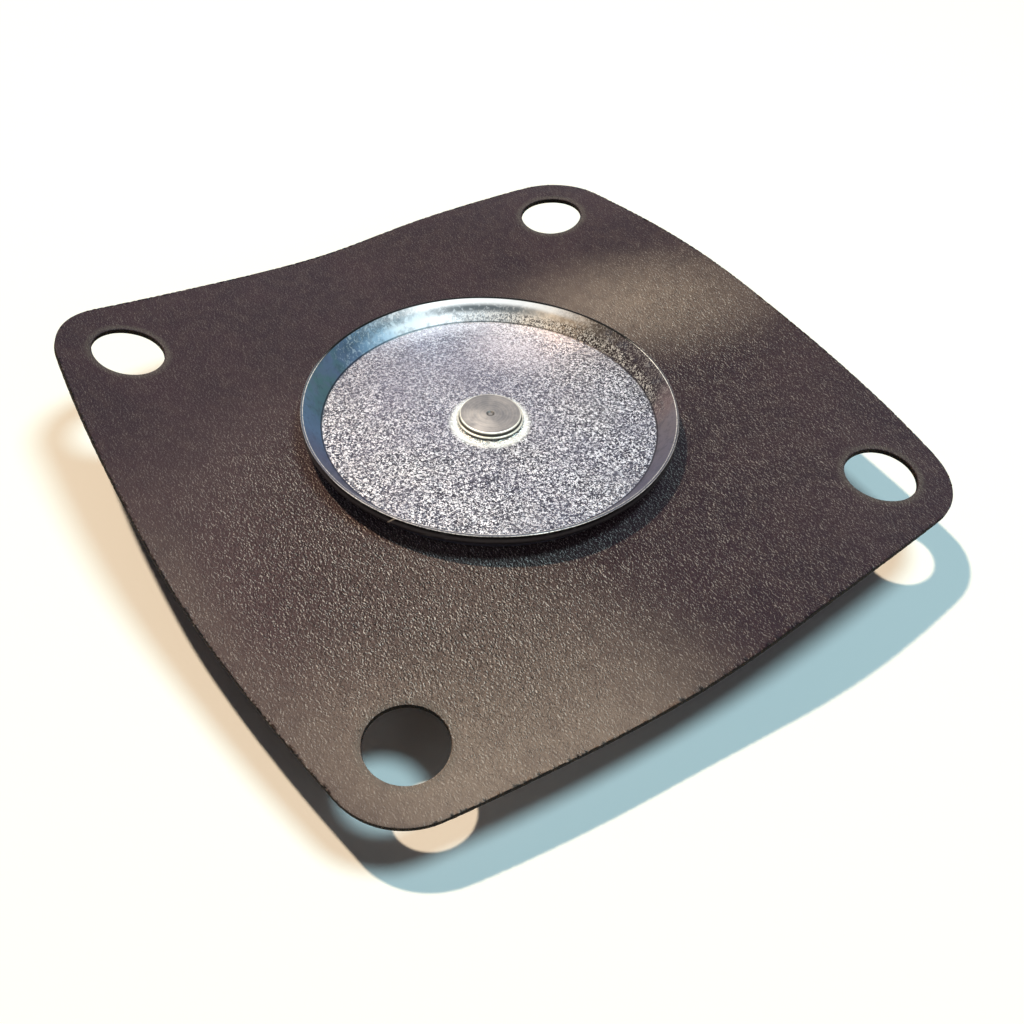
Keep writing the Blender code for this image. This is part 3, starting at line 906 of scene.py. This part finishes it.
    # The lower wall has the floor's grain from the right to the back, with its painted glints and
    # painted shade.
    grainy = s.times(s.sector(angle, 112, 62), s.between(up_wall, 0.60, 0.25))
    grainy = s.math("MULTIPLY_ADD", s.sector(angle, 90, 40), 0.45, grainy, clamp=True)
    film_with_reflections = s.mix(s.times(dark, grainy, 0.85), film_with_reflections, (0.028, 0.022, 0.022))
    film_with_reflections = s.mix(s.times(light, grainy, 0.60), film_with_reflections, (0.90, 0.82, 0.70))

    tone = s.mix(on_floor, film_with_reflections, floor_tone)
    # Painted shade in a dark line where the wall turns up, and the ring that riveting has polished
    crease_at = s.apart(radius, DISH_FLOOR_RADIUS - 0.01 * MM)
    crease_shade = s.times(s.between(crease_at, 0.075 * MM, 0.03 * MM), upper)
    tone = s.mix(s.times(crease_shade, 0.85), tone, (0.02, 0.02, 0.028))
    ragged = s.times(s.math("SUBTRACT", s.noise(0.25 * MM, detail=3.0), 0.5), 0.30 * MM)
    from_axis = s.math("ADD", radius, ragged)
    # Painted highlight: the polished ring reaches farther out at the front.
    from_axis = s.math("MULTIPLY_ADD", s.sector(angle, -38, 110), -0.38 * MM, from_axis)
    polished = s.times(s.between(from_axis, 2.62 * MM, 2.10 * MM), upper)
    tone = s.mix(s.times(polished, 0.9), tone, (0.90, 0.92, 0.89))

    # The edge that the press blanked is dark bare steel, with painted shade at its top and its
    # foot, below thin painted highlights along its arrises; the land on the lip is darker, and at
    # the back painted shade runs in a dark line along the lip.
    lip = DISH_FLOOR_RADIUS + DISH_WALL_WIDTH
    rim = lip + DISH_LIP_LAND
    lip_z = DISH_FLOOR_Z + DISH_RIM_RISE
    behind = s.between(s.sector(angle, 152, 80), 0.05, 0.45)
    land = s.between(height, lip_z - 0.030 * MM, lip_z - 0.012 * MM)
    tone = s.mix(s.times(land, 0.75), tone, (0.090, 0.090, 0.100))
    outline = s.times(s.between(radius, lip - 0.060 * MM, lip - 0.030 * MM), behind)
    blanked = s.between(radius, rim - 0.045 * MM, rim - 0.020 * MM)
    rubbed_lines = s.noise(0.6 * MM, detail=3.0, vector=s.stretched(1.0, 1.0, 0.12))
    # Painted shade darkens the blanked edge at its top and its foot.
    depth = s.between(s.apart(height, lip_z - 0.38 * MM), 0.22 * MM, 0.02 * MM)
    bare = s.mix(depth, (0.022, 0.021, 0.024), (0.125, 0.120, 0.128))
    bare = s.mix(s.between(rubbed_lines, 0.55, 0.72, 0.0, 0.6), bare, (0.22, 0.22, 0.22))
    # A scratch runs down the edge at the left.
    along_rim = s.math("ADD", angle, s.times(s.math("SUBTRACT", height, lip_z), -0.08 / MM))
    scratch = s.between(s.apart(along_rim, math.radians(-61.5)), 0.007, 0.003)
    scratch = s.times(scratch, s.between(height, lip_z - 0.60 * MM, lip_z - 0.50 * MM))
    bare = s.mix(scratch, bare, (0.95, 0.88, 0.74))
    tone = s.mix(blanked, tone, bare)
    # Painted highlights along the lip's two arrises
    arris_highlights = []
    for edge, drop in ((rim - 0.012 * MM, 0.060 * MM), (lip - 0.008 * MM, 0.050 * MM)):
        near = s.between(s.apart(radius, edge), 0.026 * MM, 0.010 * MM)
        high = s.between(height, lip_z - drop, lip_z - drop + 0.025 * MM)
        arris_highlights.append(s.times(near, high))
    arris_highlight = s.times(s.math("MAXIMUM", *arris_highlights), s.between(crumb, 0.36, 0.56, 0.25, 1.0))
    tone = s.mix(arris_highlight, tone, (0.95, 0.92, 0.84))
    # Painted shade in a dark line along the lip at the back
    tone = s.mix(outline, tone, (0.008, 0.008, 0.008))

    roughness = s.math("ADD", s.between(crumb, 0.35, 0.65, 0.40, 0.32), s.times(on_floor, 0.06))
    roughness = s.math("SUBTRACT", roughness, s.times(polished, 0.12))
    ridge = s.times(s.between(worm, -0.12, 0.12), on_floor, etched)
    relief = s.bump(ridge, 0.014 * MM)
    relief = s.bump(crumb, 0.007 * MM, relief)
    return s.finish(colour=tone, metallic=1.0, roughness=roughness, normal=relief)


def plain_zinc():
    """Satin zinc on the plate below, with the scuffs of handling."""
    s = Surface("plain_zinc_look")
    radius, _, _ = s.position()
    patch = s.noise(3.0 * MM, detail=4.0)
    crumb = s.noise(0.08 * MM, detail=2.0)
    drawn = s.stretched(1.0, 0.25, 1.0, turn=0.7)
    scuff = s.noise(0.9 * MM, detail=4.0, roughness=0.7, vector=drawn)
    tone = s.mix(s.between(patch, 0.35, 0.65), (0.36, 0.36, 0.39), (0.50, 0.50, 0.52))
    tone = s.mix(s.between(crumb, 0.55, 0.35, 0.0, 0.5), tone, (0.20, 0.20, 0.22))
    tone = s.mix(s.between(scuff, 0.58, 0.68, 0.0, 0.6), tone, (0.70, 0.70, 0.71))
    relief = s.bump(s.waves(radius, 0.22 * MM), 0.0008 * MM)
    relief = s.bump(crumb, 0.008 * MM, relief)
    roughness = s.between(patch, 0.3, 0.7, 0.34, 0.46)
    return s.finish(colour=tone, metallic=1.0, roughness=roughness, normal=relief)


def turned_steel():
    """Fine turning marks round the axis, and a satin wear on the faces."""
    s = Surface("turned_steel_look")
    radius, _, height = s.position()
    wander = s.times(s.noise(0.8 * MM, detail=3.0), 0.20 * MM)
    marks = s.waves(s.math("ADD", radius, wander), 0.19 * MM)
    side_marks = s.waves(height, 0.13 * MM)
    stain = s.noise(1.1 * MM, detail=4.0, roughness=0.6)
    fine = s.noise(0.06 * MM, detail=2.0)
    tone = s.mix(s.between(stain, 0.36, 0.66), (0.205, 0.198, 0.208), (0.290, 0.270, 0.270))
    tone = s.mix(s.between(fine, 0.55, 0.35, 0.0, 0.35), tone, (0.20, 0.20, 0.19))
    tone = s.mix(s.between(marks, 0.55, 1.0, 0.0, 0.15), tone, (0.46, 0.44, 0.43))
    # Painted sheen, brighter at the front
    painted_light_part = s.patch((0.3 * MM, -1.2 * MM), (1.9 * MM, 1.5 * MM))
    tone = s.mix(s.times(painted_light_part, s.between(stain, 0.35, 0.60, 0.30, 0.60)), tone, (0.66, 0.60, 0.56))
    # Painted shade in the pip's recess
    pip_shade = s.between(s.apart(radius, 0.19 * MM), 0.10 * MM, 0.04 * MM)
    tone = s.mix(s.times(pip_shade, 0.8), tone, (0.075, 0.072, 0.068))
    # Painted highlights on the head's edges, and painted shade on the sides below them.
    head_top = HEAD_SEAT_Z + HEAD_HEIGHT
    step_z = HEAD_SEAT_Z + HEAD_STEP_HEIGHT
    on_head = s.between(height, HEAD_SEAT_Z - 0.05 * MM, HEAD_SEAT_Z)
    bright = s.times(
        s.between(radius, HEAD_FACE_RADIUS - 0.10 * MM, HEAD_FACE_RADIUS - 0.05 * MM),
        s.between(height, head_top - 0.10 * MM, head_top - 0.06 * MM),
    )
    on_step = s.times(
        s.between(radius, HEAD_FACE_RADIUS + 0.03 * MM, HEAD_FACE_RADIUS + 0.06 * MM),
        s.between(height, step_z - 0.10 * MM, step_z - 0.06 * MM),
    )
    low = s.between(radius, HEAD_FACE_RADIUS - 0.02 * MM, HEAD_FACE_RADIUS - 0.005 * MM)
    tone = s.mix(s.times(on_head, low, 0.85), tone, (0.035, 0.034, 0.030))
    edge_highlights = s.times(s.math("MAXIMUM", bright, on_step), s.between(stain, 0.30, 0.60, 0.45, 1.0))
    tone = s.mix(edge_highlights, tone, (0.88, 0.85, 0.74))
    relief = s.bump(marks, 0.0008 * MM)
    relief = s.bump(side_marks, 0.0010 * MM, relief)
    relief = s.bump(fine, 0.003 * MM, relief)
    roughness = s.between(stain, 0.3, 0.7, 0.36, 0.46)
    return s.finish(colour=tone, metallic=1.0, roughness=roughness, normal=relief)


# Studio


# The camera was fitted to the photograph's bolt holes, outline and plate rim.
CAMERA_AZIMUTH = 52.37
CAMERA_ELEVATION = 43.92
CAMERA_ROLL = 3.44
CAMERA_DISTANCE = 75.632 * MM
CAMERA_ASIDE = (1.373 * MM, -5.862 * MM)
CAMERA_LENS = 42.1875
CAMERA_SENSOR = 36.0
CAMERA_CLIP_START = 1.0 * MM

# Half the floor's side, and how far from the object it has cleared to the white world
FLOOR_HALF = 2.0
FLOOR_REACH = 0.32
# How strongly the world lights the object. The eye sees it at full strength.
WORLD_SHARE = 0.02
# Each lamp's direction of light, distance, size, share and colour
MAIN_LAMP = ((0.452, 0.130, -1.0), 0.50, 0.022, 0.76, (1.0, 0.79, 0.555))
SECOND_LAMP = ((-0.17, -0.27, -1.0), 0.50, 0.160, 0.54, (0.60, 0.92, 1.0))
WINDOW_LAMP = ((-0.857, 0.0, -0.514), 0.50, 0.26, 0.03, (0.93, 0.97, 1.0))


def make_floor():
    reach = FLOOR_HALF
    corners = [(-reach, -reach, 0), (reach, -reach, 0), (reach, reach, 0), (-reach, reach, 0)]
    floor = new_mesh_object("floor", corners, [(0, 1, 2, 3)], smooth=False)
    s = Surface("floor_look")
    seen = s.camera_rays()
    paper = s.noise(0.5 * MM, detail=2.0)
    pale = s.mix(s.between(paper, 0.3, 0.7), (0.80, 0.80, 0.80), (0.82, 0.82, 0.82))
    s.feed(s.shader.inputs["Base Color"], s.mix(seen, pale, (1.0, 1.0, 1.0)))
    s.finish(roughness=1.0, specular=0.0)
    # The floor clears to the white world before its lamps fade, and nothing of it shows from
    # below, so that the object's underside can be seen.
    far = s.math("SUBTRACT", 1.0, s.patch((0.0, 0.0), (FLOOR_REACH, FLOOR_REACH)))
    below = s.add("ShaderNodeNewGeometry").outputs["Backfacing"]
    unseen = s.math("MAXIMUM", below, s.times(s.between(far, 0.20, 1.00), seen))
    clear = s.add("ShaderNodeBsdfTransparent")
    choose = s.add("ShaderNodeMixShader")
    s.feed(choose.inputs[0], unseen)
    s.feed(choose.inputs[1], s.shader.outputs[0])
    s.feed(choose.inputs[2], clear.outputs[0])
    s.feed(s.tree.nodes["Material Output"].inputs["Surface"], choose.outputs[0])
    floor.data.materials.append(s.material)


def make_lamp(name, direction, distance, size, share, colour):
    """A round lamp. Share is how bright it makes white paper that faces up, where 1 is white."""
    toward = -Vector(direction).normalized()
    lamp = bpy.data.lights.new(name, "AREA")
    lamp.shape = "DISK"
    lamp.size = size
    lamp.color = colour
    lamp.energy = share * math.pi**2 * distance**2 / toward.z
    obj = bpy.data.objects.new(name, lamp)
    obj.location = toward * distance
    obj.rotation_mode = "QUATERNION"
    obj.rotation_quaternion = toward.to_track_quat("Z", "Y")
    bpy.context.scene.collection.objects.link(obj)


def make_world():
    world = bpy.data.worlds.new("studio")
    bpy.context.scene.world = world
    world.use_nodes = True
    nodes = Nodes(world.node_tree)
    background = nodes.tree.nodes["Background"]
    strength = nodes.add("ShaderNodeMapRange")
    nodes.feed(strength.inputs["Value"], nodes.camera_rays())
    nodes.feed(strength.inputs["To Min"], WORLD_SHARE)
    nodes.feed(strength.inputs["To Max"], 1.0)
    nodes.feed(background.inputs["Strength"], strength.outputs[0])
    background.inputs["Color"].default_value = (1.0, 1.0, 1.0, 1.0)


def make_camera():
    azimuth, elevation = math.radians(CAMERA_AZIMUTH), math.radians(CAMERA_ELEVATION)
    roll = math.radians(CAMERA_ROLL)
    back = Vector(
        (
            math.sin(azimuth) * math.cos(elevation),
            -math.cos(azimuth) * math.cos(elevation),
            math.sin(elevation),
        )
    )
    level = Vector((math.cos(azimuth), math.sin(azimuth), 0.0))
    rise = back.cross(level)
    right = math.cos(roll) * level + math.sin(roll) * rise
    up = -math.sin(roll) * level + math.cos(roll) * rise
    camera = bpy.data.cameras.new("camera")
    camera.lens = CAMERA_LENS
    camera.sensor_width = CAMERA_SENSOR
    camera.clip_start = CAMERA_CLIP_START
    obj = bpy.data.objects.new("camera", camera)
    place = Vector((0.0, 0.0, DISH_FLOOR_Z)) + right * CAMERA_ASIDE[0] + up * CAMERA_ASIDE[1]
    place += back * CAMERA_DISTANCE
    turn = Matrix((right, up, back)).transposed().to_4x4()
    obj.matrix_world = Matrix.Translation(place) @ turn
    bpy.context.scene.collection.objects.link(obj)
    bpy.context.scene.camera = obj


def build():
    scene = bpy.context.scene
    scene.view_settings.view_transform = "Standard"
    make_camera()
    make_world()
    make_floor()
    make_lamp("main_lamp", *MAIN_LAMP)
    make_lamp("second_lamp", *SECOND_LAMP)
    make_lamp("window_lamp", *WINDOW_LAMP)

    sheet = make_sheet()
    dish = make_spring_plate()
    washer = make_lower_plate()
    rivet = make_pin()
    for piece, node, slot, look in (
        (sheet, "diaphragm_sheet", "rubbered_cloth", rubbered_cloth()),
        (dish, "spring_plate", "blue_zinc", blue_zinc()),
        (washer, "lower_plate", "plain_zinc", plain_zinc()),
        (rivet, "pin", "turned_steel", turned_steel()),
    ):
        piece.data.materials.append(look)
        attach(piece, "root")
        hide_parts(node)


build()
